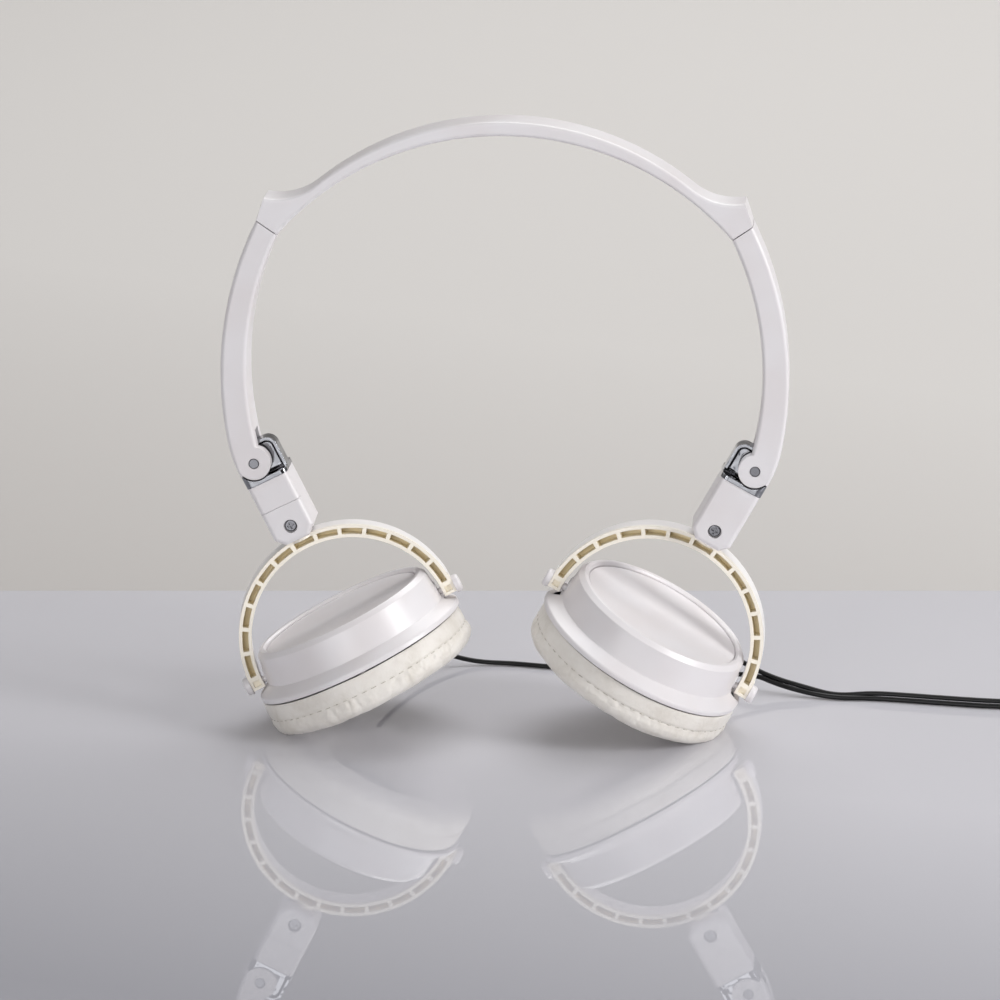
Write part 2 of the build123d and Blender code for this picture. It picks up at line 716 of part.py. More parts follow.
def plug():
    """A small straight audio plug with a bend relief, a grip and a banded contact."""
    sleeve_end = PLUG_SLEEVE
    body_end = sleeve_end + PLUG_BODY
    grip = turned(
        (0, 0),
        (1.55, 0),
        (2.3, sleeve_end),
        (PLUG_R - 0.5, sleeve_end),
        (PLUG_R, sleeve_end + 0.7),
        (PLUG_R, body_end - 0.7),
        (PLUG_R - 0.6, body_end),
        (0, body_end),
    )
    tip = body_end + PLUG_TIP
    contact = turned(
        (0, body_end),
        (CONTACT_R + 0.6, body_end),
        (CONTACT_R + 0.6, body_end + 0.9),
        (CONTACT_R, body_end + 0.9),
        (CONTACT_R, tip - 3.4),
        (1.25, tip - 2.6),
        (1.55, tip - 1.5),
        (0.5, tip),
        (0, tip),
    )
    place = Pos(*TAIL_ROUTE[-1]) * Rot(90, 0, 0)
    parts["plug_grip"] = place * grip
    parts["plug_contact"] = place * contact


for each in SIDES:
    arm(each)
    knuckle(each)
    keep(each, "yoke", yoke(), yoke_place(each))
    keep(each, "pivot_pins", pivot_pins(), yoke_place(each))
    cup(each)
headband()
cords()

os.makedirs("parts", exist_ok=True)
for name, solid in parts.items():
    export_step(solid, f"parts/{name}.step")
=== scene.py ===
"""Folding on-ear headphones standing on their cushions on a glossy table. Metres."""
from math import cos, exp, pi, radians, sin, tau

import bmesh
import bpy
from mathutils import Matrix, Vector, noise


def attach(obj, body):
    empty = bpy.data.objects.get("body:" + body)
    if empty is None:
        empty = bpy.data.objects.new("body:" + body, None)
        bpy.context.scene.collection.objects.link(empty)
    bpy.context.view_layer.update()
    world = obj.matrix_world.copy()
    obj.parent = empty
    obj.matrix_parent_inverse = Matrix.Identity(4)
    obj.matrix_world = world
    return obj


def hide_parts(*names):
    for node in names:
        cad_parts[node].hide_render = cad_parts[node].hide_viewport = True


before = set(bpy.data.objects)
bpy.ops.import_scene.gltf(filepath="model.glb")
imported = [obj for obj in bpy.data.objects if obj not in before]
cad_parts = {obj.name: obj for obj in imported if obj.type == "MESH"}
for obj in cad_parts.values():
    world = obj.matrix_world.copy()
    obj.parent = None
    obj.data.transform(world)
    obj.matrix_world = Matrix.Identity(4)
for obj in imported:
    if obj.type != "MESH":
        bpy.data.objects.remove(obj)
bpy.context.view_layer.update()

MM = 0.001
SIDES = ("left", "right")

# in mm and degrees: the hinge pin's place, how each side stands, and the places of its parts
PIN = (73.0, 79.9)
SHIFT_Y = -0.3
LEAN = {"left": 26.6, "right": 29.3}
SWIVEL = {"left": 7.3, "right": 2.7}
TILT = {"left": 88.9, "right": 95.3}
KNUCKLE_SHIFT, YOKE_DROP = 1.2, 59.9
# the yoke's pockets lie between these radii, 1 mm inside the ring's two faces
POCKET_IN, POCKET_OUT = 30.7, 32.5


def turn(axis, degrees):
    return Matrix.Rotation(radians(degrees), 4, axis)


def knuckle_place(side):
    """Knuckle millimetres to metres in the shared frame; the left side mirrors the right."""
    flip = Matrix.Scale(-1 if side == "left" else 1, 4, (1, 0, 0))
    at = Matrix.Translation((PIN[0], SHIFT_Y, PIN[1]))
    return Matrix.Scale(MM, 4) @ flip @ at @ turn("Y", LEAN[side])


def yoke_place(side):
    down = Matrix.Translation((-KNUCKLE_SHIFT, 0, -YOKE_DROP))
    return knuckle_place(side) @ down @ turn("Z", -SWIVEL[side])


def cup_place(side):
    return yoke_place(side) @ turn("X", TILT[side] - 90)


# ---------------------------------------------------------------- materials


def linear(hex_colour):
    """An sRGB hex colour as linear RGBA."""
    channels = [int(hex_colour[i : i + 2], 16) / 255 for i in (1, 3, 5)]
    return [c / 12.92 if c <= 0.04045 else ((c + 0.055) / 1.055) ** 2.4 for c in channels] + [1]


def add(tree, kind, links=None, stops=(), **settings):
    """A node with its settings, its colour stops and its links from other nodes' outputs."""
    node = tree.nodes.new("ShaderNode" + kind)
    if stops:
        elements = node.color_ramp.elements
        while len(elements) < len(stops):
            elements.new(0.5)
        for element, (position, colour) in zip(elements, stops):
            element.position = position
            element.color = linear(colour)
    for name, value in settings.items():
        if hasattr(node, name):
            setattr(node, name, value)
        else:
            node.inputs[name.replace("_", " ")].default_value = value
    for name, output in (links or {}).items():
        tree.links.new(output, node.inputs[name])
    return node


def surface(name, colour, roughness, **settings):
    """A new material with one Principled shader."""
    material = bpy.data.materials.new(name)
    material.use_nodes = True
    tree = material.node_tree
    shader = tree.nodes["Principled BSDF"]
    shader.inputs["Base Color"].default_value = linear(colour)
    shader.inputs["Roughness"].default_value = roughness
    for socket, value in settings.items():
        shader.inputs[socket.replace("_", " ")].default_value = value
    return material, tree, shader


def moulded_abs(name, colour, worn):
    """Injection-moulded white ABS: even and glossy, with softly rounded edges and faint flow clouds."""
    material, tree, shader = surface(name, colour, 0.33, IOR=1.53)
    place = add(tree, "TexCoord").outputs["Object"]
    # clouds of 15 mm, the size of a mould's flow marks
    cloud = add(tree, "TexNoise", {"Vector": place}, Scale=1 / (15 * MM), Detail=1.0).outputs["Fac"]
    tint = add(tree, "ValToRGB", {0: cloud}, [(0.3, worn), (0.7, colour)])
    tree.links.new(tint.outputs[0], shader.inputs["Base Color"])
    shine = add(tree, "MapRange", {"Value": cloud}, To_Min=0.3, To_Max=0.36)
    tree.links.new(shine.outputs[0], shader.inputs["Roughness"])
    edge = add(tree, "Bevel", samples=6, Radius=0.35 * MM)
    tree.links.new(edge.outputs[0], shader.inputs["Normal"])
    return material


def yellowed_abs_painted_shade(side):
    """White ABS that light has yellowed: cream on the cut edges, and brown down in the pockets from
    yellowing and painted shade.
    """
    material, tree, shader = surface(f"{side}_yellowed_abs_painted_shade", "#EFE6D6", 0.34, IOR=1.53)
    inverse = yoke_place(side).inverted()
    place = add(tree, "TexCoord").outputs["Object"]
    rows = [add(tree, "VectorMath", {0: place}, operation="DOT_PRODUCT") for _ in range(3)]
    axes = []
    for row, node in zip(inverse, rows):
        node.inputs[1].default_value = row[:3]
        axes.append(add(tree, "Math", {0: node.outputs["Value"]}, operation="ADD"))
        axes[-1].inputs[1].default_value = row[3]
    x, y, z = (node.outputs[0] for node in axes)
    flat = add(tree, "CombineXYZ", {0: x, 2: z})
    radius = add(tree, "VectorMath", {0: flat.outputs[0]}, operation="LENGTH").outputs["Value"]
    # the yellowing starts just outside the pockets' walls, and painted shade deepens it from the front
    # face to the floor
    near_in, near_out = POCKET_IN - 0.05, POCKET_OUT + 0.05
    inside = add(tree, "MapRange", {"Value": radius}, From_Min=near_in - 0.2, From_Max=near_in)
    outside = add(tree, "MapRange", {"Value": radius}, From_Min=near_out + 0.2, From_Max=near_out)
    deep = add(tree, "MapRange", {"Value": y}, From_Min=-1.95, From_Max=2.2)
    pocket = add(tree, "Math", {0: inside.outputs[0], 1: outside.outputs[0]}, operation="MULTIPLY")
    depth = add(tree, "Math", {0: pocket.outputs[0], 1: deep.outputs[0]}, operation="MULTIPLY")
    # blotches of 4 mm where it has yellowed unevenly
    blotch = add(tree, "TexNoise", {"Vector": place}, Scale=1 / (4 * MM), Detail=2.0)
    uneven = add(tree, "MapRange", {"Value": blotch.outputs["Fac"]}, To_Min=0.6, To_Max=1.25)
    depth = add(tree, "Math", {0: depth.outputs[0], 1: uneven.outputs[0]}, operation="MULTIPLY")
    # cream yellowing that turns browner with depth: the browning towards the pocket floor is painted shade
    stops = [(0.0, "#F8F1E2"), (0.2, "#F7EEDA"), (0.6, "#F5E9CB"), (1.0, "#F0E1BB")]
    yellowing_and_shade = add(tree, "ValToRGB", {0: depth.outputs[0]}, stops).outputs[0]
    # the round outer face has stayed white, and only its front edge is cream
    rim = add(tree, "MapRange", {"Value": y}, From_Min=-1.9, From_Max=0.4)
    clean = add(tree, "ValToRGB", {0: rim.outputs[0]}, [(0.0, "#F6EFE2"), (1.0, "#EEEBEA")]).outputs[0]
    colour = add(tree, "MixRGB", {0: pocket.outputs[0], 1: clean, 2: yellowing_and_shade})
    tree.links.new(colour.outputs[0], shader.inputs["Base Color"])
    edge = add(tree, "Bevel", samples=4, Radius=0.2 * MM)
    tree.links.new(edge.outputs[0], shader.inputs["Normal"])
    return material


def chromed_steel():
    """Die-cast metal under bright chrome plate: a mirror with a slightly pressed, uneven skin."""
    material, tree, shader = surface("chromed_steel", "#8B8C90", 0.05, Metallic=1.0)
    place = add(tree, "TexCoord").outputs["Object"]
    # shallow dimples of 3 mm left by polishing
    dimple = add(tree, "TexNoise", {"Vector": place}, Scale=1 / (3 * MM), Detail=1.0)
    edge = add(tree, "Bevel", samples=6, Radius=0.3 * MM)
    bump = add(
        tree,
        "Bump",
        {"Height": dimple.outputs["Fac"], "Normal": edge.outputs[0]},
        Strength=0.5,
        Distance=0.25 * MM,
    )
    tree.links.new(bump.outputs[0], shader.inputs["Normal"])
    return material


def turned_steel():
    """Plain steel cut on a lathe: dull grey with fine rings."""
    material, tree, shader = surface("turned_steel", "#77777B", 0.3, Metallic=1.0)
    place = add(tree, "TexCoord").outputs["Object"]
    # tool marks 0.15 mm apart
    grain = add(tree, "TexNoise", {"Vector": place}, Scale=1 / (0.15 * MM), Detail=2.0)
    tint = add(tree, "ValToRGB", {0: grain.outputs["Fac"]}, [(0.3, "#66666A"), (0.7, "#88888C")])
    tree.links.new(tint.outputs[0], shader.inputs["Base Color"])
    edge = add(tree, "Bevel", samples=4, Radius=0.15 * MM)
    tree.links.new(edge.outputs[0], shader.inputs["Normal"])
    return material


def vinyl_leatherette():
    """Thin polyurethane imitation leather: soft sheen over fine pebbled grain, greyer in worn patches."""
    material, tree, shader = surface("vinyl_leatherette", "#E2DDD6", 0.5, IOR=1.48, Sheen_Weight=0.15)
    place = add(tree, "TexCoord").outputs["Object"]
    # worn patches of 7 mm
    patch = add(tree, "TexNoise", {"Vector": place}, Scale=1 / (7 * MM), Detail=4.0, Roughness=0.6)
    stops = [(0.3, "#D6D0C7"), (0.5, "#E2DDD6"), (0.75, "#E8E4DE")]
    tint = add(tree, "ValToRGB", {0: patch.outputs["Fac"]}, stops)
    tree.links.new(tint.outputs[0], shader.inputs["Base Color"])
    # the grain's cells are 0.6 mm, and fine creases run every 2 mm
    grain = add(tree, "TexVoronoi", {"Vector": place}, feature="SMOOTH_F1", Scale=1 / (0.6 * MM))
    crease = add(tree, "TexNoise", {"Vector": place}, Scale=1 / (2 * MM), Detail=6.0, Distortion=0.8)
    fine = add(tree, "Bump", {"Height": grain.outputs["Distance"]}, Strength=0.25, Distance=0.08 * MM)
    bump = add(
        tree,
        "Bump",
        {"Height": crease.outputs["Fac"], "Normal": fine.outputs[0]},
        Strength=0.5,
        Distance=0.35 * MM,
    )
    tree.links.new(bump.outputs[0], shader.inputs["Normal"])
    return material


def bonded_thread():
    """Bonded polyester sewing thread that has picked up a little dirt: matt and twisted."""
    material, tree, shader = surface("bonded_thread", "#CFC9BF", 0.75)
    place = add(tree, "TexCoord").outputs["Object"]
    # each strand's twist repeats every 0.5 mm
    twist = add(tree, "TexNoise", {"Vector": place}, Scale=1 / (0.5 * MM), Detail=1.0)
    tint = add(tree, "ValToRGB", {0: twist.outputs["Fac"]}, [(0.35, "#ABA499"), (0.65, "#D9D4CB")])
    tree.links.new(tint.outputs[0], shader.inputs["Base Color"])
    return material


def knitted_cloth():
    """Thin acoustic cloth: a plain weave that light gets through a little."""
    material, tree, shader = surface("knitted_cloth", "#B9B5AF", 0.9, Sheen_Weight=0.3)
    place = add(tree, "TexCoord").outputs["Object"]
    # threads 0.5 mm apart, coarser than the real 0.25 mm so that they show
    weave = [
        add(
            tree,
            "TexWave",
            {"Vector": place},
            bands_direction=way,
            Scale=1 / (0.5 * MM) / 20 * tau,
            Distortion=0.4,
        )
        for way in "XY"
    ]
    mesh = add(
        tree, "Math", {0: weave[0].outputs["Fac"], 1: weave[1].outputs["Fac"]}, operation="MAXIMUM"
    )
    tint = add(tree, "ValToRGB", {0: mesh.outputs[0]}, [(0.2, "#7E7A75"), (0.9, "#C6C2BC")])
    tree.links.new(tint.outputs[0], shader.inputs["Base Color"])
    bump = add(tree, "Bump", {"Height": mesh.outputs[0]}, Strength=0.5, Distance=0.1 * MM)
    tree.links.new(bump.outputs[0], shader.inputs["Normal"])
    return material


def black_vinyl():
    """Extruded soft PVC: smooth, deep black, with a narrow grey highlight and faint waviness."""
    material, tree, shader = surface("black_vinyl", "#030304", 0.45, IOR=1.4)
    place = add(tree, "TexCoord").outputs["Object"]
    # dust and handling marks of 3 mm
    mark = add(tree, "TexNoise", {"Vector": place}, Scale=1 / (3 * MM), Detail=3.0)
    shine = add(tree, "MapRange", {"Value": mark.outputs["Fac"]}, To_Min=0.38, To_Max=0.52)
    tree.links.new(shine.outputs[0], shader.inputs["Roughness"])
    tint = add(tree, "ValToRGB", {0: mark.outputs["Fac"]}, [(0.35, "#020203"), (0.75, "#08080A")])
    tree.links.new(tint.outputs[0], shader.inputs["Base Color"])
    return material


def moulded_black(name, roughness):
    """Black moulded plastic with a fine spark-eroded texture of 0.3 mm."""
    material, tree, shader = surface(name, "#16161A", roughness, IOR=1.5)
    place = add(tree, "TexCoord").outputs["Object"]
    spark = add(tree, "TexNoise", {"Vector": place}, Scale=1 / (0.3 * MM), Detail=2.0)
    edge = add(tree, "Bevel", samples=4, Radius=0.25 * MM)
    bump = add(
        tree,
        "Bump",
        {"Height": spark.outputs["Fac"], "Normal": edge.outputs[0]},
        Strength=0.3,
        Distance=0.03 * MM,
    )
    tree.links.new(bump.outputs[0], shader.inputs["Normal"])
    return material


def plated_contact():
    """Nickel plate on brass: warm, bright and nearly smooth, with fine scuffs from use."""
    material, tree, shader = surface("plated_contact", "#D8CFB4", 0.16, Metallic=1.0)
    place = add(tree, "TexCoord").outputs["Object"]
    scuff = add(tree, "TexNoise", {"Vector": place}, Scale=1 / (1.2 * MM), Detail=4.0)
    shine = add(tree, "MapRange", {"Value": scuff.outputs["Fac"]}, To_Min=0.1, To_Max=0.3)
    tree.links.new(shine.outputs[0], shader.inputs["Roughness"])
    return material


def clear_film():
    """Thin polyester film, pressed into rings."""
    material, tree, shader = surface("clear_film", "#B9AE93", 0.25, IOR=1.6, Transmission_Weight=0.3)
    place = add(tree, "TexCoord").outputs["Object"]
    ring = add(tree, "TexNoise", {"Vector": place}, Scale=1 / (2 * MM), Detail=1.0)
    bump = add(tree, "Bump", {"Height": ring.outputs["Fac"]}, Strength=0.3, Distance=0.1 * MM)
    tree.links.new(bump.outputs[0], shader.inputs["Normal"])
    return material


def painted_shade_falloff(tree, place, across, near, far, dim, full):
    """A painted shade: a colour that goes from dim to full as the place goes away from the front left, in
    metres.
    """
    away = add(tree, "VectorMath", {0: place}, operation="DOT_PRODUCT")
    away.inputs[1].default_value = (across, 1, 0)
    share = add(tree, "MapRange", {"Value": away.outputs["Value"]}, From_Min=near, From_Max=far)
    return add(tree, "ValToRGB", {0: share.outputs[0]}, [(0.0, dim), (1.0, full)]).outputs[0]


def glossy_laminate():
    """Pale grey lacquered laminate, the table's top: smooth enough for clear reflections."""
    material, tree, shader = surface("glossy_laminate", "#CECDD3", 0.01, IOR=1.7)
    place = add(tree, "TexCoord").outputs["Object"]
    # painted shade: the top is darker towards its front left corner
    tint = painted_shade_falloff(tree, place, 0.4, -0.27, -0.03, "#A2A2A9", "#CECDD3")
    tree.links.new(tint, shader.inputs["Base Color"])
    # slow unevenness of 150 mm in the lacquer
    wave = add(tree, "TexNoise", {"Vector": place}, Scale=1 / 0.15, Detail=1.0)
    shine = add(tree, "MapRange", {"Value": wave.outputs["Fac"]}, To_Min=0.004, To_Max=0.015)
    tree.links.new(shine.outputs[0], shader.inputs["Roughness"])
    return material


def backdrop_paper():
    """Matt warm-grey background paper, with painted shade that makes it a little darker at its near left
    end.
    """
    material, tree, shader = surface("backdrop_paper", "#C9C5C1", 0.9)
    place = add(tree, "TexCoord").outputs["Object"]
    # painted shade, darker towards the near left
    tint = painted_shade_falloff(tree, place, 0.6, 0.05, 0.7, "#B5B1AE", "#C9C6C3")
    tree.links.new(tint, shader.inputs["Base Color"])
    return material


WHITE = moulded_abs("moulded_abs", "#E1DEE0", "#DDD8D9")
LINER = moulded_abs("liner_abs", "#DFD9D8", "#D6CFCC")
CHROME = chromed_steel()
STEEL = turned_steel()
LEATHERETTE = vinyl_leatherette()
THREAD = bonded_thread()
CLOTH = knitted_cloth()
VINYL = black_vinyl()
BLACK = moulded_black("moulded_black", 0.42)
TIE = moulded_black("soft_tie", 0.6)
CONTACT = plated_contact()
FILM = clear_film()
YELLOWED_AND_SHADED = {side: yellowed_abs_painted_shade(side) for side in SIDES}

SIDE_FINISHES = {
    "arm": WHITE,
    "slide_strip": STEEL,
    "hinge_pin": STEEL,
    "hinge_bracket": CHROME,
    "knuckle": WHITE,
    "knuckle_cover": WHITE,
    "knuckle_screw": STEEL,
    "swivel_bush": BLACK,
    "pivot_pins": WHITE,
    "cup_shell": WHITE,
    "cup_cap": WHITE,
    "baffle": BLACK,
    "baffle_screws": STEEL,
    "driver_frame": BLACK,
    "driver_magnet": STEEL,
    "driver_diaphragm": FILM,
    "cushion_ring": WHITE,
    "ear_cloth": CLOTH,
    "strain_relief": BLACK,
}


def finish_node(name, material):
    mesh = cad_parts[name].data
    mesh.materials.clear()
    mesh.materials.append(material)


for side in SIDES:
    for part, material in SIDE_FINISHES.items():
        finish_node(f"{side}_{part}", material)
    finish_node(f"{side}_yoke", YELLOWED_AND_SHADED[side])
finish_node("headband", WHITE)
finish_node("headband_liner", LINER)
finish_node("splitter", BLACK)
finish_node("coil_tie", TIE)
finish_node("plug_grip", BLACK)
finish_node("plug_contact", CONTACT)

# ---------------------------------------------------------------- cords

LEAD_D, CORD_D = 1.5, 2.3

# routes in mm, from the strain reliefs to the splitter, and from there to the coil and the plug
LEFT_LEAD = [
    (-49.36, 33.09, 25.82),
    (-50.06, 39.74, 25.32),
    (-48.6, 46.26, 23.4),
    (-45.2, 52.06, 19.8),
    (-41.0, 55.96, 15.4),
    (-35.6, 58.96, 10.9),
    (-28.2, 61.46, 6.3),
    (-20.1, 63.26, 2.9),
    (-12.0, 64.36, 1.0),
    (-2.0, 64.16, 0.85),
    (8.0, 61.56, 0.85),
    (20.0, 58.56, 0.85),
    (34.0, 56.76, 0.85),
    (48.0, 53.26, 1.1),
    (60.0, 47.76, 3.0),
    (72.5, 40.56, 5.6),
    (79.5, 38.36, 3.2),
    (88.0, 35.06, 1.7),
    (97.5, 32.46, 0.85),
    (108.0, 32.96, 0.85),
    (118.0, 31.36, 0.85),
    (130.0, 28.96, 0.85),
    (146.0, 26.16, 0.85),
    (160.0, 26.16, 0.85),
]
RIGHT_LEAD = [
    (46.31, 33.0, 31.58),
    (46.74, 37.93, 31.87),
    (48.2, 41.96, 29.6),
    (52.0, 45.26, 23.5),
    (58.0, 47.26, 16.5),
    (65.5, 44.76, 10.3),
    (72.5, 41.36, 7.0),
    (79.5, 39.16, 4.6),
    (88.0, 36.16, 3.05),
    (97.5, 34.56, 0.9),
    (108.0, 34.06, 2.15),
    (118.0, 32.16, 2.25),
    (130.0, 29.76, 2.25),
    (146.0, 26.96, 2.25),
    (160.0, 26.96, 2.25),
]
CORD_START = [
    (173.0, 26.56, 2.4),
    (184.0, 26.56, 2.2),
    (196.0, 30.36, 1.3),
    (207.0, 35.16, 1.3),
]
CORD_END = [
    (237.9, 14.56, 3.4),
    (237.7, 7.76, 2.2),
    (237.6, 1.76, 3.3),
    (237.6, -3.74, 3.3),
]

COIL_AT = (222.0, 21.76)
# the angle at which the cord enters the coil, and the share of a turn where it moves over
COIL_START, COIL_EASE = 104.0, 0.2
POINTS_PER_TURN = 16
# radius and height of each turn as it was wound: out to in, back, and up
COIL_TURNS = [
    (15.7, 1.85),
    (13.1, 1.8),
    (10.6, 1.9),
    (11.9, 3.85),
    (14.4, 3.8),
    (13.1, 5.8),
    (10.7, 5.75),
    (12.0, 7.7),
    (14.5, 7.6),
    (15.7, 5.6),
]


def coil_points():
    """The spare cord's turns, clockwise from above, each easing into the next."""
    points = []
    total = len(COIL_TURNS) - 1 + COIL_START / 360
    # a quadratic spline runs inside its control points by this much
    swell = 1 / cos(pi / POINTS_PER_TURN)
    for n in range(int(total * POINTS_PER_TURN) + 1):
        turns = n / POINTS_PER_TURN
        whole = min(int(turns), len(COIL_TURNS) - 1)
        ease = max(0.0, (turns - whole - 1 + COIL_EASE) / COIL_EASE)
        after = COIL_TURNS[min(whole + 1, len(COIL_TURNS) - 1)]
        r, z = (a + (b - a) * ease for a, b in zip(COIL_TURNS[whole], after))
        angle, reach = radians(COIL_START - 360 * turns), r * swell
        points.append((COIL_AT[0] + reach * cos(angle), COIL_AT[1] + reach * sin(angle), z))
    return points


def cord_curve(name, points, diameter):
    """A round cord along one smooth spline."""
    data = bpy.data.curves.new(name, "CURVE")
    data.dimensions = "3D"
    data.bevel_depth = diameter / 2 * MM
    data.bevel_resolution = 5
    data.resolution_u = 8
    data.use_fill_caps = True
    spline = data.splines.new("NURBS")
    spline.points.add(len(points) - 1)
    for spot, point in zip(spline.points, points):
        spot.co = [c * MM for c in point] + [1]
    spline.order_u = 3
    spline.use_endpoint_u = True
    data.materials.append(VINYL)
    curve = bpy.data.objects.new(name, data)
    bpy.context.scene.collection.objects.link(curve)
    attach(curve, "headband")
    return curve


def at(point):
    return tuple(c * MM for c in point)


left_lead = cord_curve("left_ear_lead", LEFT_LEAD, LEAD_D)
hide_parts("left_lead")
right_lead = cord_curve("right_ear_lead", RIGHT_LEAD, LEAD_D)
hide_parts("right_lead")
long_cord = cord_curve("long_cord", CORD_START + coil_points() + CORD_END, CORD_D)
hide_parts("main_cord", "cord_coil", "plug_tail")

# ---------------------------------------------------------------- cushions

# outline of the pad's section in radius and height, from the skirt round to the ear hole
PAD_OUTLINE = [
    (31.3, -6.0),
    (31.75, -5.85),
    (32.0, -6.5),
    (32.2, -8.4),
    (32.25, -10.2),
    (32.08, -10.9),
    (32.25, -11.6),
    (32.45, -13.2),
    (31.9, -15.1),
    (30.2, -16.6),
    (27.4, -17.3),
    (23.4, -17.2),
    (19.2, -16.4),
    (15.9, -14.6),
    (14.0, -12.2),
    (13.4, -9.6),
    (14.2, -7.6),
    (16.4, -6.75),
]
PAD_SHIFT = 0.5
# which point of the outline is the seam, and how finely the pad is divided
SEAM_AT = 5
AROUND = 720
STEPS = 8
# depths of the pad's folds in mm
SKIRT_WAVE, GATHER, PULL, DENT, CREASE, FINE = 0.10, 0.30, 0.34, 0.34, 0.22, 0.045
# stitches: how many, their length and thickness in mm, and the thread's share of it along one
STITCHES, STITCH_LONG, THREAD_R = 66, 2.0, 0.17
STITCH_SHAPE = ((-1.0, 0.3), (-0.75, 0.9), (-0.3, 1.0), (0.3, 1.0), (0.75, 0.9), (1.0, 0.3))
THREAD_SIDES = 6
# the pad rests this far above the table, in metres
CLEAR = 0.05 * MM


def smooth_outline():
    """Points along a smooth curve through the outline, with the distance from the seam in mm."""
    fine = []
    last = len(PAD_OUTLINE) - 1
    for i in range(last):
        a, b, c, d = (Vector(PAD_OUTLINE[min(max(k, 0), last)]) for k in (i - 1, i, i + 1, i + 2))
        for n in range(STEPS):
            t = n / STEPS
            square, cube = 2 * a - 5 * b + 4 * c - d, 3 * b - a - 3 * c + d
            fine.append(0.5 * (2 * b + (c - a) * t + square * t**2 + cube * t**3))
    fine.append(Vector(PAD_OUTLINE[-1]))
    run, lengths = 0.0, [0.0]
    for p, q in zip(fine, fine[1:]):
        run += (q - p).length
        lengths.append(run)
    seam = lengths[SEAM_AT * STEPS]
    return fine, [s - seam for s in lengths]


def fold(x, y, z):
    """A ridge or valley of noise with a soft crest, from 0 to 1."""
    return (1 - abs(2 * noise.noise(Vector((x, y, z))))) ** 2


def wrinkle(side, angle, s):
    """How far the leatherette stands in or out, in mm, at an angle and a distance from its seam."""
    seed = 11.0 if side == "left" else 47.0
    x, y = 33 * cos(angle), 33 * sin(angle)
    if s < 0:
        # the skirt is smooth, with slight waves 9 mm long
        return SKIRT_WAVE * noise.noise(Vector((x / 9, y / 9, s / 6 + seed)))
    # gathers start at the seam, about 2.5 mm apart, in some stretches more than others
    busy = 0.5 + 1.4 * noise.noise(Vector((x / 16, y / 16, seed)))
    patchy = 0.35 + 0.65 * max(0.0, min(1.0, busy))
    near = min(1.0, s / 0.8) * exp(-max(0.0, s - 1.5) / 3.2)
    gathers = noise.noise(Vector((x / 1.9, y / 1.9, s / 7 + seed)))
    pulls = fold(x / 3.4, y / 3.4, s / 9 + 3 * seed)
    # longer creases wander across the front, 6 mm apart, and 12 mm dents lie under them
    across = min(1.0, s / 3)
    creases = fold(x / 6, y / 6, s / 5 + 5 * seed)
    dents = noise.noise(Vector((x / 12, y / 12, s / 10 + 2 * seed)))
    fine = noise.noise(Vector((x / 1.1, y / 1.1, s / 1.3 + 7 * seed)))
    return (
        near * patchy * (GATHER * gathers - PULL * pulls)
        + across * (DENT * dents - CREASE * patchy * creases**2)
        + FINE * fine * min(1.0, s)
    )


def pad(side):
    """The ring cushion: a smooth skirt, a sewn seam and a puffy wrinkled front."""
    outline, from_seam = smooth_outline()
    place = cup_place(side)
    mesh = bmesh.new()
    rings = []
    for j in range(AROUND):
        angle = tau * j / AROUND
        out = Vector((cos(angle), sin(angle), 0))
        ring = []
        for k, (p, s) in enumerate(zip(outline, from_seam)):
            before, after = outline[max(k - 1, 0)], outline[min(k + 1, len(outline) - 1)]
            along = (after - before).normalized()
            # the outline runs from the skirt round to the hole, so its outer side is on the left
            stand = wrinkle(side, angle, s)
            r, z = p.x - along.y * stand, p.y + along.x * stand
            spot = place @ (out * r + Vector((PAD_SHIFT, 0, z)))
            ring.append(mesh.verts.new(spot))
        rings.append(ring)
    for ring, beside in zip(rings, rings[1:] + rings[:1]):
        for k in range(len(ring)):
            n = (k + 1) % len(ring)
            mesh.faces.new((ring[k], ring[n], beside[n], beside[k]))
    for vert in mesh.verts:
        settle(vert)
    bmesh.ops.recalc_face_normals(mesh, faces=mesh.faces)
    return keep_mesh(mesh, f"{side}_ear_cushion", LEATHERETTE, f"{side}_cup")


def stitches(side):
    """Short stitches of thick thread, sunk into the seam."""
    seam = smooth_outline()[0][SEAM_AT * STEPS]
    place = cup_place(side)
    mesh = bmesh.new()
    for n in range(STITCHES):
        rings = []
        for along, thick in STITCH_SHAPE:
            angle = tau * n / STITCHES + along * STITCH_LONG / 2 / seam.x
            out = Vector((cos(angle), sin(angle), 0))
            # its ends dive 0.1 mm deeper than its middle
            centre = out * (seam.x - 0.02 - 0.1 * along * along) + Vector((PAD_SHIFT, 0, seam.y))
            ring = []
            for k in range(THREAD_SIDES):
                turned = tau * k / THREAD_SIDES
                aside = out * cos(turned) + Vector((0, 0, sin(turned)))
                ring.append(mesh.verts.new(place @ (centre + aside * THREAD_R * thick)))
            rings.append(ring)
        for ring, after in zip(rings, rings[1:]):
            for k in range(THREAD_SIDES):
                j = (k + 1) % THREAD_SIDES
                mesh.faces.new((ring[k], ring[j], after[j], after[k]))
        mesh.faces.new(rings[0])
        mesh.faces.new(rings[-1][::-1])
    bmesh.ops.recalc_face_normals(mesh, faces=mesh.faces)
    return keep_mesh(mesh, f"{side}_seam_stitches", THREAD, f"{side}_cup")


def settle(vert):
    """Where the pad would go through the table it lies flat on it."""
    vert.co.z = max(vert.co.z, CLEAR)


def keep_mesh(mesh, name, material, body):
    data = bpy.data.meshes.new(name)
    mesh.to_mesh(data)
    mesh.free()
    data.shade_smooth()
    data.materials.append(material)
    piece = bpy.data.objects.new(name, data)
    bpy.context.scene.collection.objects.link(piece)
    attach(piece, body)
    return piece


for side in SIDES:
    cushion = pad(side)
    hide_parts(f"{side}_cushion")
    stitches(side)

# ---------------------------------------------------------------- table, backdrop, light, camera

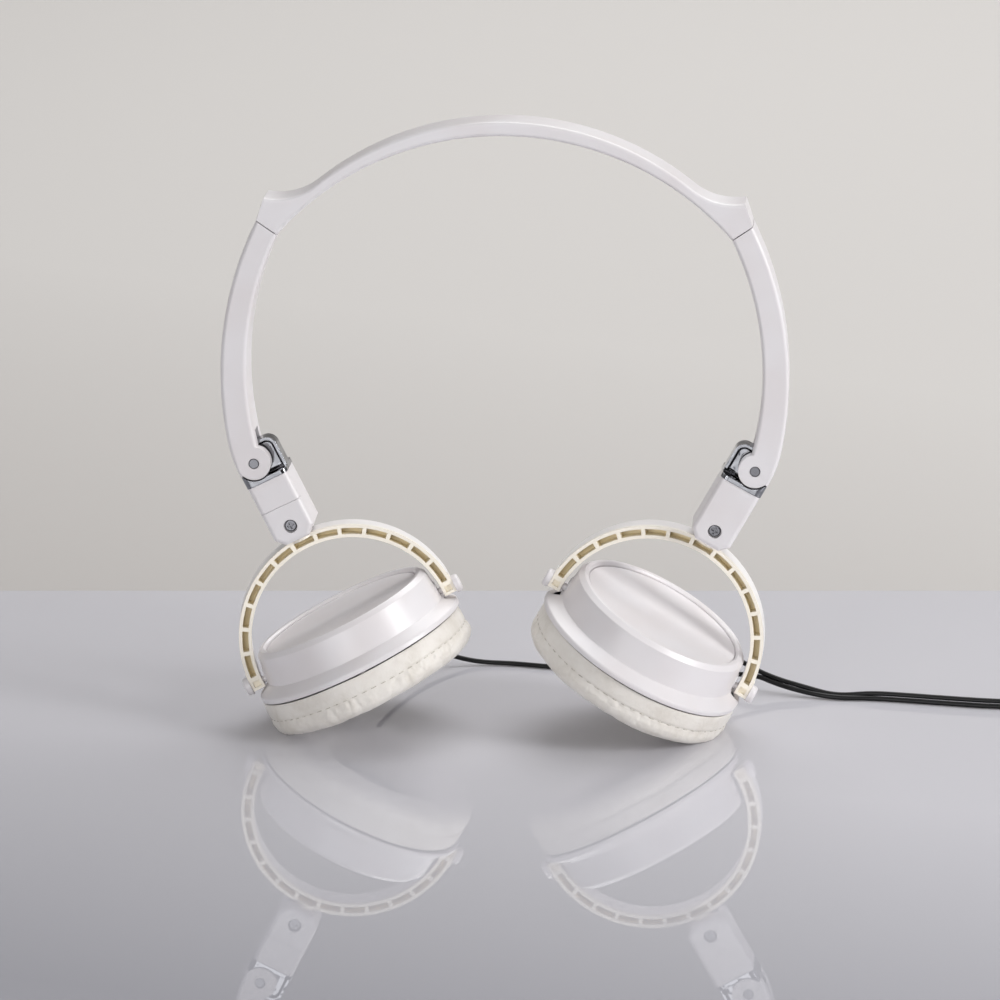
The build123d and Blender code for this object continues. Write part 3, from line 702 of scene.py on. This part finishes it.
CAMERA_AT = (0.0951, -1.4172, 0.4187)
CAMERA_DOWN, CAMERA_TURN = 13.85, 3.9
# the table is square to the camera, and this is where its back edge turns
TABLE_AT = (-0.012, 0, 0)


def stage_mesh(name, verts, faces, material):
    data = bpy.data.meshes.new(name)
    data.from_pydata(verts, [], faces)
    data.materials.append(material)
    thing = bpy.data.objects.new(name, data)
    bpy.context.scene.collection.objects.link(thing)
    return thing


def table():
    """A wide slab whose back edge is a hand's width behind the headphones."""
    half, front, back, thick = 2.5, -2.5, 0.1548, 0.03
    mesh = bmesh.new()
    bmesh.ops.create_cube(mesh, size=1)
    for vert in mesh.verts:
        vert.co = (
            vert.co.x * 2 * half,
            back if vert.co.y > 0 else front,
            0 if vert.co.z > 0 else -thick,
        )
    data = bpy.data.meshes.new("table")
    mesh.to_mesh(data)
    mesh.free()
    data.materials.append(glossy_laminate())
    slab = bpy.data.objects.new("table", data)
    bpy.context.scene.collection.objects.link(slab)
    slab.matrix_world = Matrix.Translation(TABLE_AT) @ turn("Z", CAMERA_TURN)
    edge = slab.modifiers.new("edge", "BEVEL")
    edge.width = 0.0012
    edge.segments = 3


def backdrop():
    """Background paper that lies behind the table and sweeps up far away."""
    low, flat, rise, steps, half = -0.035, 3.2, 1.2, 16, 6.0
    profile = [(-4.0, low), (flat, low)]
    for n in range(1, steps + 1):
        angle = pi / 2 * n / steps
        profile.append((flat + rise * sin(angle), low + rise * (1 - cos(angle))))
    profile.append((flat + rise, 4.0))
    verts = [(x, y, z) for y, z in profile for x in (-half, half)]
    faces = [(2 * i, 2 * i + 1, 2 * i + 3, 2 * i + 2) for i in range(len(profile) - 1)]
    sweep = stage_mesh("backdrop", verts, faces, backdrop_paper())
    sweep.data.shade_smooth()


def softbox(name, place, aim, size, power):
    """A rectangular lamp of a size in metres and a power in watts."""
    data = bpy.data.lights.new(name, "AREA")
    data.shape = "RECTANGLE"
    data.size, data.size_y = size
    data.energy = power
    lamp = bpy.data.objects.new(name, data)
    lamp.location = place
    lamp.rotation_euler = (Vector(aim) - Vector(place)).to_track_quat("-Z", "Y").to_euler()
    bpy.context.scene.collection.objects.link(lamp)


def studio():
    world = bpy.data.worlds.new("studio")
    world.use_nodes = True
    tree = world.node_tree
    back = tree.nodes["Background"]
    # the unlit room in front of the table is darker than the walls beside and behind it
    facing = add(tree, "SeparateXYZ", {0: add(tree, "TexCoord").outputs["Generated"]})
    depth = add(tree, "MapRange", {"Value": facing.outputs["Y"]}, From_Min=-0.95, From_Max=-0.2)
    room = add(tree, "ValToRGB", {0: depth.outputs[0]}, [(0.0, "#6A6A6D"), (1.0, "#DCDBDB")])
    tree.links.new(room.outputs[0], back.inputs[0])
    back.inputs[1].default_value = 0.5
    bpy.context.scene.world = world
    softbox("side_softbox", (1.15, -0.5, 0.55), (0, 0, 0.06), (0.45, 0.7), 12)
    softbox("front_softbox", (-0.45, -1.75, 0.4), (0, 0, 0.08), (1.2, 0.7), 12.5)
    softbox("top_softbox", (0.3, 0.2, 1.6), (0, 0.1, 0), (1.4, 0.9), 2.5)
    softbox("back_softbox", (0.3, 1.9, 1.7), (0, 1.9, 0), (3.0, 1.4), 40)


def camera():
    data = bpy.data.cameras.new("camera")
    data.lens, data.sensor_width = 180, 36
    viewer = bpy.data.objects.new("camera", data)
    viewer.location = CAMERA_AT
    viewer.rotation_euler = (radians(90 - CAMERA_DOWN), 0, radians(CAMERA_TURN))
    bpy.context.scene.collection.objects.link(viewer)
    bpy.context.scene.camera = viewer


table()
backdrop()
studio()
camera()
bpy.context.scene.view_settings.view_transform = "Standard"
